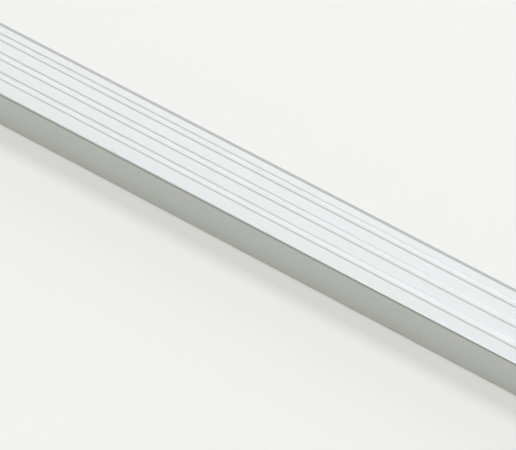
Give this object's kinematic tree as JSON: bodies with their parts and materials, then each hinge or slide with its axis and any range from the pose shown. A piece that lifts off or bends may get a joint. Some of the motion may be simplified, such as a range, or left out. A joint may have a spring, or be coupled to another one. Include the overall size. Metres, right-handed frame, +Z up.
{
  "type": "stair nosing",
  "caption": "Extruded angle that edges a stair step: a tread leaf with rounded flutes and a bevelled back edge, a rounded nose and a plain front leaf.",
  "frame": {"origin": "centre of the bounding box's base, on the floor: halfway along the length and halfway across the angle as it rests", "axes": "+X along the length, -Y the way the front leaf looks, +Z up, with the angle resting on its foot and on the tread's back edge"},
  "size_m": [0.9, 0.0454, 0.0199],
  "materials": {
    "anodised_aluminium": "satin anodised, natural silver, with fine lines along the length"
  },
  "bodies": {
    "root": {"nosing_profile": "anodised_aluminium"}
  },
  "joints": []
}
